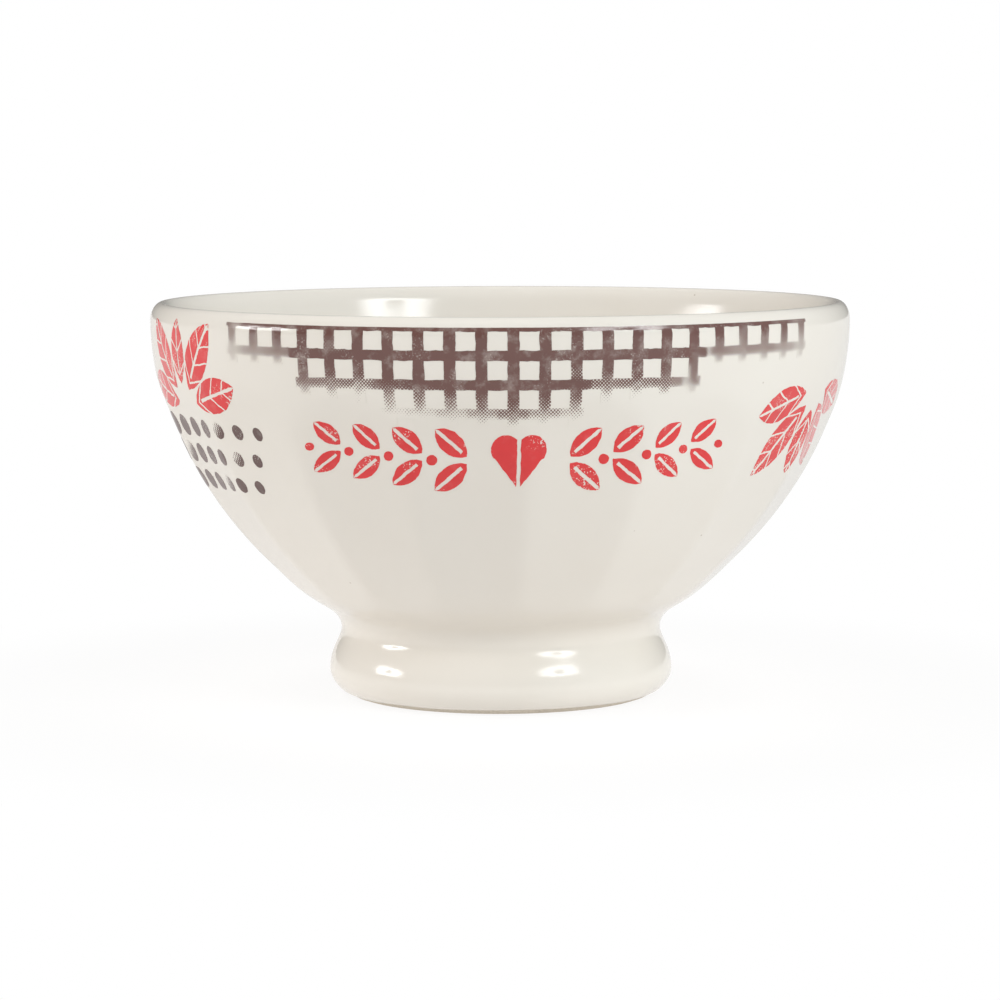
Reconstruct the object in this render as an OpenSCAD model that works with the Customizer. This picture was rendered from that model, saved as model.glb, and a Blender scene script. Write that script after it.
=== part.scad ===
// Footed breakfast bowl of glazed earthenware, with flat facets round its lower wall,
// a hollow foot, and printed decoration in brown, grey and red.
// The origin is on the table under the bowl's centre. The front of the decoration faces -Y.

/* [Bowl] */
// Outside diameter at the widest circle, just under the lip
rim_d = 140; // [120:1:170]
// Height from the table to the lip's crest
bowl_h = 79.4; // [72:0.1:95]
// Height of the lip's crest above the widest circle
lip_h = 3.4; // [2.6:0.1:4.6]
// Thickness of the wall at the lip
lip_t = 4.4; // [3.8:0.1:5.6]
// Lean of the wall's inside just under the lip, from upright
inner_lean = 12.5; // [6:0.5:16]
// Thickness of the bowl's floor, over the hollow foot
floor_t = 6.4; // [5:0.1:9]

/* [Foot] */
// Diameter of the foot at its widest
foot_d = 69.2; // [67:0.1:76]
// Height of the foot's widest circle
foot_bulge_h = 5.4; // [3.5:0.1:7]
// How far the outside of the flat ring that the bowl rests on lies inside the foot's widest circle
rest_in = 6; // [4.5:0.1:6.6]
// Width of the flat ring that the bowl rests on
rest_w = 1.6; // [1:0.1:2.4]
// Width of the worn edge inside that ring
rest_edge = 0.5; // [0.3:0.1:0.9]
// Thickness of the foot at the ceiling of its hollow
foot_wall_t = 6.2; // [6:0.1:9]
// Height of the dry line, below which the foot has no glaze
dry_h = 1.1; // [0.8:0.1:1.8]

/* [Neck] */
// How far the neck lies inside the foot's widest circle
neck_in = 2.4; // [1.6:0.1:3.2]
// Height of the neck's narrowest circle
neck_h = 13.6; // [11:0.1:16]
// How far the wall stands out from the neck where the neck's hollow ends
flare_out = 3.5; // [2.6:0.1:5]
// Height of that turn above the neck's narrowest circle
flare_h = 4.8; // [3.8:0.1:6.5]
// Lean of the wall there, from upright
flare_angle = 60; // [52:1:64]

/* [Facets] */
// Number of facets round the wall, always even
facet_count = 18; // [14:2:24]
// Turn of the facets, so that an edge lies just right of the front
facet_turn = 4.5; // [0:0.5:10]
// Depth of a facet below the round wall, at the facet's middle
facet_depth = 1.2; // [0.8:0.1:1.5]
// Distance from the lip's crest down to the top of each facet's arch
facet_top_drop = 15.9; // [14:0.1:20]
// Height of the arch, over which the facet runs out
facet_arch_h = 6; // [4:0.5:9]
// Height of the facets' lower end above the neck's narrowest circle
facet_base_rise = 7.4; // [6.6:0.1:12]
// Height over which the facets reach their full depth
facet_run_h = 4; // [3:0.5:6]

/* [Glaze and print] */
// Thickness of the glaze
glaze_t = 0.3; // [0.2:0.05:0.5]
// Thickness of the printed layer
print_t = 0.1; // [0.08:0.01:0.2]

/* [Check] */
// Distance from the lip's crest down to the top of the check
check_drop = 1.8; // [1.4:0.1:2.6]
// Distance from one level bar to the next
check_row = 5.4; // [4.8:0.1:6]
// Width of the level bars
check_bar_h = 1.9; // [1.4:0.1:2.6]
// Width of the topmost level bar
check_top_bar_h = 0.7; // [0.5:0.1:1.4]
// Width of the upright bars
check_bar_w = 2.2; // [1.4:0.1:3]
// Number of upright bars that would go all the way round
check_count = 75; // [66:1:84]
// Turn of the swag's middle from the front
check_turn = 2; // [-6:0.5:6]
// Length of the upright bars below the last level bar that they cross
check_fringe_h = 1.4; // [0.6:0.1:2.2]

/* [Garland] */
// Distance from the lower edge of the check's lowest level bar down to the garland's middle line
garland_drop = 7.9; // [7.6:0.1:10]
// Length of one garland leaf
garland_leaf = 7.8; // [5:0.1:8]
// Width of one garland leaf
garland_leaf_w = 4.2; // [2.4:0.1:4.6]
// Diameter of the berries
berry_d = 2; // [1.2:0.1:2.6]
// Width of the heart in the middle
heart_w = 10.4; // [7:0.1:13]
// Gap left in the red by each bridge of the stencil
bridge_w = 0.7; // [0.5:0.1:1]

/* [Sprays and dots] */
// Distance from the lip's crest down to the root of the sprays that stand up
up_spray_drop = 19.4; // [18.4:0.1:21]
// Distance from the lip's crest down to the root of the sprays that hang down
down_spray_drop = 14.9; // [13.4:0.1:18.4]
// Length of the longest broad leaf
spray_leaf = 16.5; // [12:0.5:17]
// Width of the longest broad leaf
spray_leaf_w = 7.4; // [4:0.1:7.6]
// Distance from the root of the standing sprays down to the lowest row of dots
dot_drop = 14.5; // [14:0.1:16.5]
// Distance between neighbouring dots
dot_pitch = 6.2; // [5.2:0.1:6.4]
// Diameter of the largest dot
dot_d = 4.5; // [2.4:0.1:4.8]

/* [Hidden] */
$fn = 180;
// Extra reach of every cutting solid
over = 1;

clay_color = [0.80, 0.70, 0.58];
cream_color = [0.93, 0.91, 0.87];
brown_color = [0.42, 0.35, 0.33];
grey_color = [0.42, 0.37, 0.37];
red_color = [0.83, 0.20, 0.20];

rim_r = rim_d / 2;
foot_r = foot_d / 2;
rest_r = foot_r - rest_in;
neck_r = foot_r - neck_in;
well_r = neck_r - foot_wall_t;
lip_mid_r = rim_r - lip_t / 2;
inner_r = rim_r - lip_t;
widest_h = bowl_h - lip_h;
floor_h = neck_h + floor_t;
facet_top_h = bowl_h - facet_top_drop;
facet_base_h = neck_h + facet_base_rise;

// How far each curve's handles reach, as a share of the span that it crosses
quarter_share = 0.5;
bulge_share = 0.45;
neck_share = 0.25;
fillet_share = 0.44;
low_wall_share = 0.29;
high_wall_share = 0.46;
inner_wall_share = 0.4;
inner_floor_share = 0.82;

// Number of straight steps in each curve
short_steps = 6;
wall_steps = 24;

// Points of a curve from a to d with handles b and c, without a itself
function curve(a, b, c, d, steps) = [
    for (i = [1 : steps])
        let (t = i / steps, s = 1 - t)
            s * s * s * a + 3 * s * s * t * b + 3 * s * t * t * c + t * t * t * d
];

function unit(v) = v / norm(v);

// Outline of the glazed bowl, from the foot's flat ring up over the lip and down to the middle of the floor
rest = [rest_r, 0];
bulge = [foot_r, foot_bulge_h];
neck = [neck_r, neck_h];
flare = [neck_r + flare_out, neck_h + flare_h];
widest = [rim_r, widest_h];
crest = [lip_mid_r, bowl_h];
lip_inside = [inner_r, widest_h];
floor_middle = [0, floor_h];

flare_way = [sin(flare_angle), cos(flare_angle)];
inner_way = [sin(inner_lean), cos(inner_lean)];
foot_rise = neck_h - foot_bulge_h;
wall_rise = widest_h - flare.y;
inner_rise = widest_h - floor_h;
lip_half = rim_r - lip_mid_r;

foot_curve = concat(
    curve(
        rest, rest + [quarter_share * (foot_r - rest_r), 0],
        bulge - [0, quarter_share * foot_bulge_h], bulge, short_steps
    ),
    curve(
        bulge, bulge + [0, bulge_share * foot_rise],
        neck - [0, neck_share * foot_rise], neck, short_steps
    )
);
wall_curve = concat(
    curve(
        neck, neck + [0, fillet_share * flare_h],
        flare - fillet_share * flare_h * flare_way, flare, short_steps
    ),
    curve(
        flare, flare + low_wall_share * wall_rise * flare_way,
        widest - [0, high_wall_share * wall_rise], widest, wall_steps
    ),
    curve(
        widest, widest + [0, quarter_share * lip_h],
        crest + [quarter_share * lip_half, 0], crest, short_steps
    )
);
inner_curve = concat(
    curve(
        crest, crest - [quarter_share * lip_half, 0],
        lip_inside + quarter_share * lip_h * inner_way, lip_inside, short_steps
    ),
    curve(
        lip_inside, lip_inside - inner_wall_share * inner_rise * inner_way,
        floor_middle + [inner_floor_share * inner_r, 0], floor_middle, wall_steps
    )
);
outline = concat([rest], foot_curve, wall_curve, inner_curve);
neck_index = len(foot_curve);
crest_index = neck_index + len(wall_curve);
last_index = len(outline) - 1;

// The outline moved out, or in where the distance is negative. Below the dry line it moves less and less
function moved(points, distance) = [
    for (i = [0 : len(points) - 1])
        let (
            p = points[i],
            before = points[max(0, i - 1)],
            after = i == last_index ? [-before.x, before.y] : points[min(len(points) - 1, i + 1)],
            way = unit(after - before),
            ease = min(1, p.y / dry_h)
        )
            p + distance * ease * [way.y, -way.x]
];
function part_of(points, first, last) = [for (i = [first : last]) points[i]];

clay = moved(outline, -glaze_t);
outer_outline = part_of(outline, 0, crest_index);
outer_clay = part_of(clay, 0, crest_index);

// Everything inside an outline that ends at the lip's crest, filled to the axis
module filled(points) {
    rotate_extrude()
        polygon(concat([[0, 0]], points, [[0, points[len(points) - 1].y]]));
}

// Radius of the round wall at a height
wall_radii = [for (p = part_of(outline, neck_index, crest_index - short_steps)) [p.y, p.x]];
function wall_r(h) = lookup(h, wall_radii);

// A facet from below its base to above its arch, as seen from the side. It lies outside the round wall at both
// ends, and its full depth inside the wall between them
full_low = [wall_r(facet_base_h + facet_run_h) - facet_depth, facet_base_h + facet_run_h];
full_high = [wall_r(facet_top_h - facet_arch_h) - facet_depth, facet_top_h - facet_arch_h];
base_strip = full_low - [wall_r(facet_base_h), facet_base_h];
arch_strip = [wall_r(facet_top_h), facet_top_h] - full_high;
row_gap = wall_rise / wall_steps / 4;
facet_side = concat(
    [full_low - 2 * base_strip, full_low],
    [
        for (p = part_of(outline, neck_index, crest_index))
            if (p.y > full_low.y + row_gap && p.y < full_high.y - row_gap)
                p - [facet_depth, 0]
    ],
    [full_high, full_high + 2 * arch_strip]
);

// One pair of opposite facets, as a slab as thick as the bowl is there
module facet_pair(distance) {
    side = moved(facet_side, distance);
    low = side[0].y;
    high = side[len(side) - 1].y;
    reach = rim_r + facet_depth + over;
    half = concat([[reach, -over], [reach, low]], side, [[reach, high], [reach, bowl_h + over]]);
    other_half = [for (i = [len(half) - 1 : -1 : 0]) [-half[i].x, half[i].y]];
    rotate([90, 0, 0])
        linear_extrude(height = 2 * reach, center = true)
            polygon(concat(half, other_half));
}

// What lies inside all the facets
module within_facets(distance) {
    pairs = facet_count / 2;
    intersection_for (i = [0 : pairs - 1])
        rotate([0, 0, facet_turn - 90 + (i + 0.5) * 180 / pairs])
            facet_pair(distance);
}

module glazed_block() {
    intersection() {
        filled(outer_outline);
        within_facets(0);
    }
}

// The clay's outside, with a core above the lip so that the glaze ends at the crest
module clay_block() {
    intersection() {
        filled(concat(outer_clay, [[lip_mid_r, bowl_h + over]]));
        within_facets(-glaze_t);
    }
}

// The clay wall and the clay foot meet on the level of the neck's narrowest circle
clay_neck = [clay[neck_index].x, neck_h];

module bowl_wall() {
    color(clay_color)
        intersection() {
            rotate_extrude()
                polygon(concat([[0, neck_h], clay_neck], part_of(clay, neck_index + 1, last_index)));
            within_facets(-glaze_t);
        }
}

// Inside of the foot, from the ceiling of its hollow down to the dry line
rest_inside_r = rest_r - rest_w;
well_top = [well_r, neck_h];
well_foot = [rest_inside_r - rest_edge, dry_h];

module foot_ring() {
    color(clay_color)
        rotate_extrude()
            polygon(concat(
                [[rest_inside_r, 0]],
                part_of(clay, 0, neck_index - 1),
                [clay_neck, well_top, well_foot]
            ));
}

module outer_glaze() {
    color(cream_color)
        difference() {
            glazed_block();
            clay_block();
            translate([0, 0, -over])
                cylinder(r = rim_r, h = dry_h + over);
        }
}

module inner_glaze() {
    inside = part_of(outline, crest_index, last_index);
    backing = part_of(clay, crest_index, last_index);
    back_points = [for (i = [len(backing) - 1 : -1 : 0]) backing[i]];
    color(cream_color)
        rotate_extrude()
            polygon(concat(inside, back_points));
}

module foot_well_glaze() {
    color(cream_color)
        rotate_extrude()
            polygon([
                [0, neck_h],
                well_top,
                well_foot,
                well_foot - [glaze_t, 0],
                well_top - [glaze_t, glaze_t],
                [0, neck_h - glaze_t]
            ]);
}

// The glazed wall between two heights, moved out by a distance and filled to the axis
function between(points, low, high) = [for (p = points) if (p.y > low && p.y < high) p];

module wall_block(distance, low, high) {
    side = between(part_of(moved(outline, distance), neck_index, crest_index), low, high);
    intersection() {
        rotate_extrude()
            polygon(concat([[0, side[0].y]], side, [[0, side[len(side) - 1].y]]));
        within_facets(distance);
    }
}

// The layer of print on the glaze between two heights, wherever the children reach it
module print_layer(low, high) {
    spare = 2 * (widest_h - flare.y) / wall_steps;
    intersection() {
        difference() {
            wall_block(print_t, low - spare, high + spare);
            wall_block(0, low - spare, high + spare);
        }
        union()
            children();
    }
}

// Every cutting shape starts inside the wall and ends outside it
cut_from = rim_r * 0.75;
cut_to = rim_r + over;

// A block of the wall between two turns and two heights
module sector(from, to, low, high) {
    rotate([0, 0, from - 90])
        rotate_extrude(angle = to - from)
            translate([cut_from, low])
                square([cut_to - cut_from, high - low]);
}

// Pushes a flat shape out through the wall at a turn and a height
module stamp(turn, height) {
    rotate([0, 0, turn])
        translate([0, -cut_from, height])
            rotate([90, 0, 0])
                linear_extrude(height = cut_to - cut_from)
                    children();
}

// How many upright bars each level bar crosses to the left and to the right of the middle
bar_left_counts = [10, 10, 7, 4];
bar_right_counts = [11, 11, 6, 2];
// How far a level bar runs on past the middle of its last upright bar, as a share of their distance
bar_end_share = 0.32;
check_rows = len(bar_left_counts);
check_top_h = bowl_h - check_drop;
check_pitch = 360 / check_count;
check_bar_turn = check_bar_w / rim_r * 180 / PI;
check_low_h = bar_low(check_rows - 1) - check_fringe_h;
function bar_low(row) = check_top_h - check_top_bar_h - row * check_row;
function bar_high(row) = row == 0 ? check_top_h : bar_low(row) + check_bar_h;
function crossings(column) = [
    for (row = [0 : check_rows - 1])
        if (column >= -bar_left_counts[row] && column <= bar_right_counts[row]) row
];
function last_row(column) = len(crossings(column)) - 1;

module check_cutters(turn) {
    for (row = [0 : check_rows - 1]) {
        from = turn - (bar_left_counts[row] + bar_end_share) * check_pitch;
        to = turn + (bar_right_counts[row] + bar_end_share) * check_pitch;
        sector(from, to, bar_low(row), bar_high(row));
    }
    for (column = [-bar_left_counts[0] : bar_right_counts[0]]) {
        middle = turn + column * check_pitch;
        low = bar_low(last_row(column)) - check_fringe_h;
        high = check_top_h - check_top_bar_h / 2;
        sector(middle - check_bar_turn / 2, middle + check_bar_turn / 2, low, high);
    }
}

module check_print(turn) {
    color(brown_color)
        print_layer(check_low_h, check_top_h)
            check_cutters(turn);
}

module front_check_print() {
    check_print(check_turn);
}

module back_check_print() {
    check_print(check_turn + 180);
}

// A pointed leaf that starts at the origin and points along +X, with a bridge along its rib
rib_start_share = 0.16;

module leaf(length, width) {
    arc_r = (length * length / width + width) / 4;
    drop = arc_r - width / 2;
    difference() {
        intersection() {
            translate([length / 2, -drop])
                circle(r = arc_r);
            translate([length / 2, drop])
                circle(r = arc_r);
        }
        translate([length * rib_start_share, -bridge_w / 2])
            square([length, bridge_w]);
    }
}

// Two round lobes over a point, as shares of the heart's width, parted by a bridge
lobe_share = 0.27;
lobe_side_share = 0.23;
heart_outline_shares = [[-0.432, -0.16], [0, -0.73], [0.432, -0.16], [0, 0.11]];

module heart(width) {
    difference() {
        union() {
            for (side = [-1, 1])
                translate([side * lobe_side_share * width, 0])
                    circle(r = lobe_share * width);
            polygon(heart_outline_shares * width);
        }
        translate([-bridge_w / 2, -width])
            square([bridge_w, 2 * width]);
    }
}

// Pairs of leaves go out from the heart to both sides, each smaller and higher than the one before
garland_turn = 3;
garland_pairs = 4;
garland_h = bar_low(check_rows - 1) - garland_drop;
garland_first_turn = 8.6;
garland_step_turn = 7.4;
leaf_tilt = 42;
shrink_share = 0.07;
rise_share = 0.08;
berry_place_share = 0.78;
heart_lift_share = 0.2;

module garland_cutters(turn) {
    stamp(turn, garland_h + heart_w * heart_lift_share)
        heart(heart_w);
    for (side = [-1, 1], pair = [0 : garland_pairs - 1]) {
        place = turn + side * (garland_first_turn + pair * garland_step_turn);
        height = garland_h + garland_leaf * rise_share * pair;
        size = 1 - shrink_share * pair;
        for (up = [-1, 1])
            stamp(place, height + up * bridge_w)
                mirror([side < 0 ? 1 : 0, 0])
                    rotate(up * leaf_tilt)
                        leaf(garland_leaf * size, garland_leaf_w * size);
        stamp(place + side * garland_step_turn * berry_place_share, height)
            circle(r = berry_d / 2 * size);
    }
}

module garland_print(turn) {
    reach = garland_leaf + garland_leaf_w;
    color(red_color)
        print_layer(garland_h - reach, garland_h + reach)
            garland_cutters(turn);
}

module front_garland_print() {
    garland_print(garland_turn);
}

module back_garland_print() {
    garland_print(garland_turn + 180);
}

// A fan of broad leaves: the tilt of each from the fan's middle, and its share of the longest one
fan_tilts = [-75, -37.5, 0, 37.5, 75];
fan_leaf_shares = [0.9, 1, 0.76, 1, 0.9];
fan_gap_share = 0.3;

module spray_cutters(turn, height, up) {
    for (i = [0 : len(fan_tilts) - 1])
        stamp(turn, height)
            rotate(up * 90 + fan_tilts[i])
                translate([spray_leaf * fan_gap_share, 0])
                    leaf(spray_leaf * fan_leaf_shares[i], spray_leaf_w * fan_leaf_shares[i]);
}

// A spray that stands up and one that hangs down lie side by side on each side of the bowl
up_spray_h = bowl_h - up_spray_drop;
down_spray_h = bowl_h - down_spray_drop;
up_spray_turn = -63;
down_spray_turn = 63;

module leaf_print(front_turn, front_height, front_up, back_turn, back_height, back_up) {
    reach = spray_leaf * (1 + fan_gap_share);
    color(red_color)
        print_layer(down_spray_h - reach, up_spray_h + reach) {
            spray_cutters(front_turn, front_height, front_up);
            spray_cutters(back_turn, back_height, back_up);
        }
}

module left_leaf_print() {
    leaf_print(up_spray_turn, up_spray_h, 1, down_spray_turn - 180, down_spray_h, -1);
}

module right_leaf_print() {
    leaf_print(down_spray_turn, down_spray_h, -1, up_spray_turn + 180, up_spray_h, 1);
}

// Rows of dots under the standing spray, smaller towards the garland
dot_field_h = up_spray_h - dot_drop;
dot_turn = -80;
dot_rows = 3;
dot_columns = 7;
dot_shrink_share = 0.07;
dot_row_share = 0.87;

module dot_cutters(turn) {
    step = dot_pitch / rim_r * 180 / PI;
    for (row = [0 : dot_rows - 1], column = [0 : dot_columns - 1])
        stamp(turn + (column + row / 2) * step, dot_field_h + row * dot_pitch * dot_row_share)
            circle(r = dot_d / 2 * (1 - dot_shrink_share * column));
}

module dot_print(turn) {
    color(grey_color)
        print_layer(dot_field_h - dot_pitch, dot_field_h + dot_rows * dot_pitch)
            dot_cutters(turn);
}

module left_dot_print() {
    dot_print(dot_turn);
}

module right_dot_print() {
    dot_print(dot_turn + 180);
}

bowl_wall();
foot_ring();
outer_glaze();
inner_glaze();
foot_well_glaze();
front_check_print();
back_check_print();
front_garland_print();
back_garland_print();
left_leaf_print();
right_leaf_print();
left_dot_print();
right_dot_print();
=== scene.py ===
import bpy
import bmesh
import math
from bisect import bisect_right
from mathutils import Matrix, Vector, noise


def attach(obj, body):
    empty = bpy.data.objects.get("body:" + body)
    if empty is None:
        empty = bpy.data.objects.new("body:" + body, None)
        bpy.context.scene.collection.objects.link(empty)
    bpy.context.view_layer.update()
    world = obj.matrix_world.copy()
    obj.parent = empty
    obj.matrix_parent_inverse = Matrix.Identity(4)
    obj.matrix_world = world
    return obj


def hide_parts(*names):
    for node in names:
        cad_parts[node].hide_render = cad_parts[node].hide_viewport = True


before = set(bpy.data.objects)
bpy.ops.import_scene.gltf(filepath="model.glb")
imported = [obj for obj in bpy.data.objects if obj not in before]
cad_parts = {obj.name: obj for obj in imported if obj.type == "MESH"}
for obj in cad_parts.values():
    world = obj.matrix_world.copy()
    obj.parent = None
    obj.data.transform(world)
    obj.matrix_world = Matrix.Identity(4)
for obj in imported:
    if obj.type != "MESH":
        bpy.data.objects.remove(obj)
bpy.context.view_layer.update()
mm = 0.001

# Lengths are in millimetres and follow the solids. Only glazeLook, clayLook, studio and sheet have metres.
bowl = {
    "rimRadius": 70, "height": 79.4, "lipRise": 3.4, "lipWidth": 4.4, "floorHeight": 20,
    "restRadius": 28.6, "restWidth": 1.6, "restEdge": 0.5, "dryLine": 1.1,
    "bulge": (34.6, 5.4), "neck": (32.2, 13.6), "flare": (35.7, 18.4), "flareLean": 60,
    "wellRadius": 26, "glaze": 0.3, "insideLean": 12.5,
    "columns": 288,       # 16 for each facet
    "clayColumns": 144, "footColumns": 192,
    "firstTurn": 4.5,     # the first column lies on a facet's edge
}
facets = {
    "count": 18, "turn": 4.5, "depth": 1.2,
    "base": 21, "fullLow": 28, "fullHigh": 53, "top": 63.5,
    "soft": 0.5,          # how widely the glaze rounds an edge
    "clear": -0.6,        # with this share of its depth or less, a facet lies well outside the round wall
    "heights": (18.5, 67), "skin": 2,      # where points are pressed, and how far below the outside
}
# Into how many steps each use divides the outline's foot, wall, lip and inside
steps = {
    "fine": (40, 400, 40, 80), "coat": (10, 84, 10, 40), "backing": (5, 30, 5, 18),
    "wall": (8, 40, 6, 24), "foot": (10, 10, 4, 4),
}
# How far the handles of the outline's curves reach, as shares of each curve's way
pull = {
    "rest": 0.5, "bulge": 0.45, "neckDown": 0.25, "neckUp": 0.44, "flareDown": 0.44, "flareUp": 0.29,
    "wall": 0.46, "lip": 0.5, "inside": 0.4, "floor": 0.82,
}


def curvePoints(start, pullOut, pullIn, end, count):
    points = []
    for i in range(1, count + 1):
        t = i / count
        s = 1 - t
        points.append(tuple(
            s ** 3 * a + 3 * s * s * t * b + 3 * s * t * t * c + t ** 3 * d
            for a, b, c, d in zip(start, pullOut, pullIn, end)
        ))
    return points


def bowlOutline(footSteps, wallSteps, lipSteps, insideSteps):
    # outside from the rest ring up to the crest, then inside from the crest to the middle of the floor
    rest, bulge, neck, flare = (bowl["restRadius"], 0), bowl["bulge"], bowl["neck"], bowl["flare"]
    rim, widestHeight = bowl["rimRadius"], bowl["height"] - bowl["lipRise"]
    half = bowl["lipWidth"] / 2
    crest = (rim - half, bowl["height"])
    inside = (rim - bowl["lipWidth"], widestHeight)
    middle = (0, bowl["floorHeight"])
    lean = math.radians(bowl["flareLean"])
    way = (math.sin(lean), math.cos(lean))
    footRise, flareRise = neck[1] - bulge[1], flare[1] - neck[1]
    wallRise, insideRise = widestHeight - flare[1], widestHeight - middle[1]
    outer = [rest]
    outer += curvePoints(
        rest, (rest[0] + pull["rest"] * (bulge[0] - rest[0]), 0), (bulge[0], pull["rest"] * bulge[1]),
        bulge, footSteps
    )
    outer += curvePoints(
        bulge, (bulge[0], bulge[1] + pull["bulge"] * footRise),
        (neck[0], neck[1] - pull["neckDown"] * footRise), neck, footSteps
    )
    up, down = pull["flareUp"] * wallRise, pull["flareDown"] * flareRise
    outer += curvePoints(
        neck, (neck[0], neck[1] + pull["neckUp"] * flareRise),
        (flare[0] - down * way[0], flare[1] - down * way[1]), flare, footSteps
    )
    outer += curvePoints(
        flare, (flare[0] + up * way[0], flare[1] + up * way[1]),
        (rim, widestHeight - pull["wall"] * wallRise), (rim, widestHeight), wallSteps
    )
    outer += curvePoints(
        (rim, widestHeight), (rim, widestHeight + pull["lip"] * bowl["lipRise"]),
        (crest[0] + pull["lip"] * half, crest[1]), crest, lipSteps
    )
    lean = math.radians(bowl["insideLean"])
    way = (math.sin(lean), math.cos(lean))
    up, down = pull["lip"] * bowl["lipRise"], pull["inside"] * insideRise
    inner = curvePoints(
        crest, (crest[0] - pull["lip"] * half, crest[1]),
        (inside[0] + up * way[0], inside[1] + up * way[1]), inside, lipSteps
    )
    inner += curvePoints(
        inside, (inside[0] - down * way[0], inside[1] - down * way[1]),
        (pull["floor"] * inside[0], middle[1]), middle, insideSteps
    )
    return outer, inner


def movedIn(points, distance, closedAtAxis):
    # the same outline, further in by a distance that fades out below the dry line
    moved = []
    for i, (r, z) in enumerate(points):
        before = points[max(i - 1, 0)]
        beyond = (-before[0], before[1]) if closedAtAxis else (r, z)
        after = points[i + 1] if i + 1 < len(points) else beyond
        dr, dz = after[0] - before[0], after[1] - before[1]
        length = math.hypot(dr, dz)
        ease = min(1, z / bowl["dryLine"])
        moved.append((max(r - distance * ease * dz / length, 0), z + distance * ease * dr / length))
    return moved


fineOuter = bowlOutline(*steps["fine"])[0]
outerHeights = [z for r, z in fineOuter]


def wallRadius(height):
    # of the round wall, before its facets are pressed
    i = min(max(bisect_right(outerHeights, height), 1), len(fineOuter) - 1)
    (r0, z0), (r1, z1) = fineOuter[i - 1], fineOuter[i]
    return r0 + (r1 - r0) * min(max((height - z0) / (z1 - z0), 0), 1)


def softLeast(a, b, blend):
    overlap = max(blend - abs(a - b), 0) / blend
    return min(a, b) - overlap * overlap * blend / 4


def facetPress(turn, height):
    # how deep the facets lie below the round wall at a turn from the front and a height
    f = facets
    if height > f["fullHigh"]:
        share = 1 - ((height - f["fullHigh"]) / (f["top"] - f["fullHigh"])) ** 2
    elif height < f["fullLow"]:
        share = 1 - ((f["fullLow"] - height) / (f["fullLow"] - f["base"])) ** 2
    else:
        share = 1
    if share < f["clear"]:
        return 0
    radius = wallRadius(height)
    flat = radius - f["depth"] * share
    step = 360 / f["count"]
    along = (turn - f["turn"]) / step
    off = abs(along - math.floor(along) - 0.5) * step
    here, beside = flat / math.cos(math.radians(off)), flat / math.cos(math.radians(step - off))
    return radius - softLeast(softLeast(here, beside, f["soft"]), radius, f["soft"])


def selectOnly(*pieces):
    bpy.ops.object.select_all(action="DESELECT")
    for piece in pieces:
        piece.select_set(True)
    bpy.context.view_layer.objects.active = pieces[0]


def applyModifier(piece, kind, **settings):
    selectOnly(piece)
    modifier = piece.modifiers.new(kind.lower(), kind)
    for key, value in settings.items():
        setattr(modifier, key, value)
    bpy.ops.object.modifier_apply(modifier=modifier.name)


def turnedPiece(name, outline, columns):
    # a plane is merged to one point, the outline is extruded from it, and the chain is spun round the axis
    bpy.ops.object.select_all(action="DESELECT")
    bpy.ops.mesh.primitive_plane_add(size=mm)
    piece = bpy.context.active_object
    piece.name = piece.data.name = name
    turn = math.radians(bowl["firstTurn"])
    out = Vector((math.sin(turn), -math.cos(turn), 0))
    spots = [(out * r + Vector((0, 0, z))) * mm for r, z in outline]
    bpy.ops.object.mode_set(mode="EDIT")
    bpy.ops.mesh.select_all(action="SELECT")
    bpy.ops.mesh.merge(type="CENTER")
    bpy.ops.transform.translate(value=spots[0])
    for here, there in zip(spots, spots[1:]):
        bpy.ops.mesh.extrude_vertices_move(TRANSFORM_OT_translate={"value": there - here})
    bpy.ops.mesh.select_all(action="SELECT")
    bpy.ops.mesh.spin(steps=columns, angle=math.tau, center=(0, 0, 0), axis=(0, 0, 1))
    bpy.ops.mesh.select_all(action="SELECT")
    bpy.ops.mesh.remove_doubles(threshold=2e-6)
    bpy.ops.mesh.delete_loose(use_verts=True, use_edges=True, use_faces=False)
    bpy.ops.mesh.select_all(action="SELECT")
    bpy.ops.mesh.normals_make_consistent(inside=False)
    bpy.ops.object.mode_set(mode="OBJECT")
    return piece


def pressFacets(piece):
    low, high = facets["heights"]
    for vertex in piece.data.vertices:
        height = vertex.co.z / mm
        radius = math.hypot(vertex.co.x, vertex.co.y) / mm
        if low < height < high and radius > wallRadius(height) - facets["skin"]:
            turn = math.degrees(math.atan2(vertex.co.x, -vertex.co.y))
            share = 1 - facetPress(turn, height) / radius
            vertex.co.x *= share
            vertex.co.y *= share


def finishPiece(piece, nodes, angle=40):
    selectOnly(piece)
    bpy.ops.object.shade_smooth_by_angle(angle=math.radians(angle))
    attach(piece, "root")
    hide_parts(*nodes)


# The glaze coat: one closed skin from the dry line up over the lip and down to the middle of the floor
dryEdge = {
    "rows": 5, "low": 0.1, "rise": 0.4, "crowd": 1.5, "round": 0.5,      # the rows of its soft round edge
    "skin": 0.55, "back": 0.3,      # where the shown and the hidden side begin, above the dry line
    "uneven": 0.14, "unevenScale": 90,
}


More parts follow.
